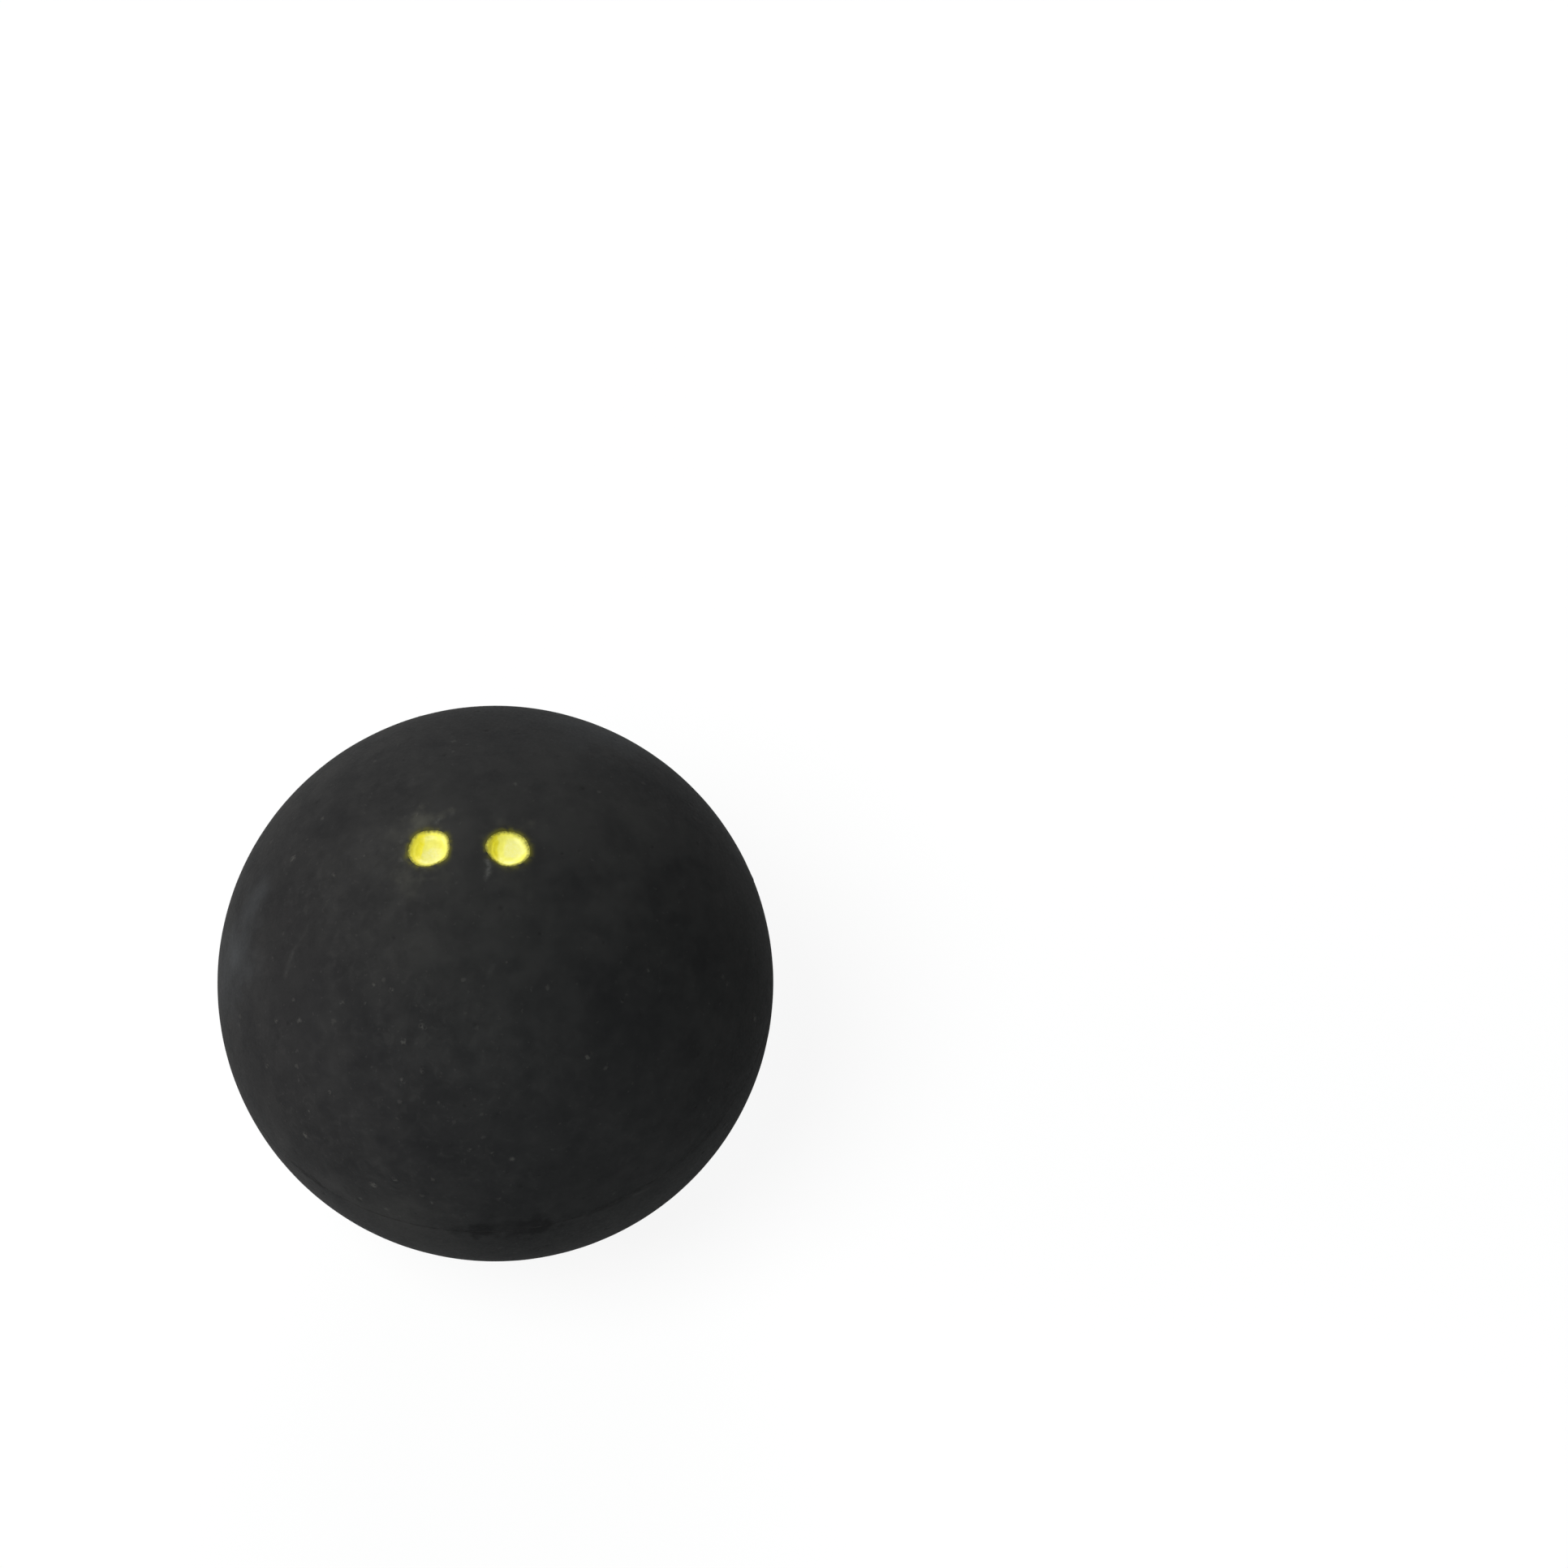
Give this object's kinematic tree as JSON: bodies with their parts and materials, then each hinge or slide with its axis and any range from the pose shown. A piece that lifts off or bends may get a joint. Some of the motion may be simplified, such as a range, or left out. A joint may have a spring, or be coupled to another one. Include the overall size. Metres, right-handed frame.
{
  "type": "squash ball",
  "caption": "Small hollow ball of matte black rubber: moulded half shells cemented round sealed air, with recessed yellow marking dots.",
  "frame": {"origin": "centre of the ball", "axes": "+Z from the ball's centre out through the midpoint between the marking dots; +X along the line from one dot to the other; the moulding seam lies in the XY plane"},
  "size_m": [0.04, 0.04, 0.04],
  "materials": {
    "black_rubber": "dull buffed rubber with a fine dusty grain",
    "cured_cement": "smooth cured rubber cement, slightly shinier than the shells",
    "dot_paint": "satin yellow paint, thin and uneven, lining each recessed dot"
  },
  "bodies": {
    "root": {"marked_half_shell": "black_rubber", "plain_half_shell": "black_rubber", "seam_cement": "cured_cement", "dot_paint_left": "dot_paint", "dot_paint_right": "dot_paint"}
  },
  "joints": []
}
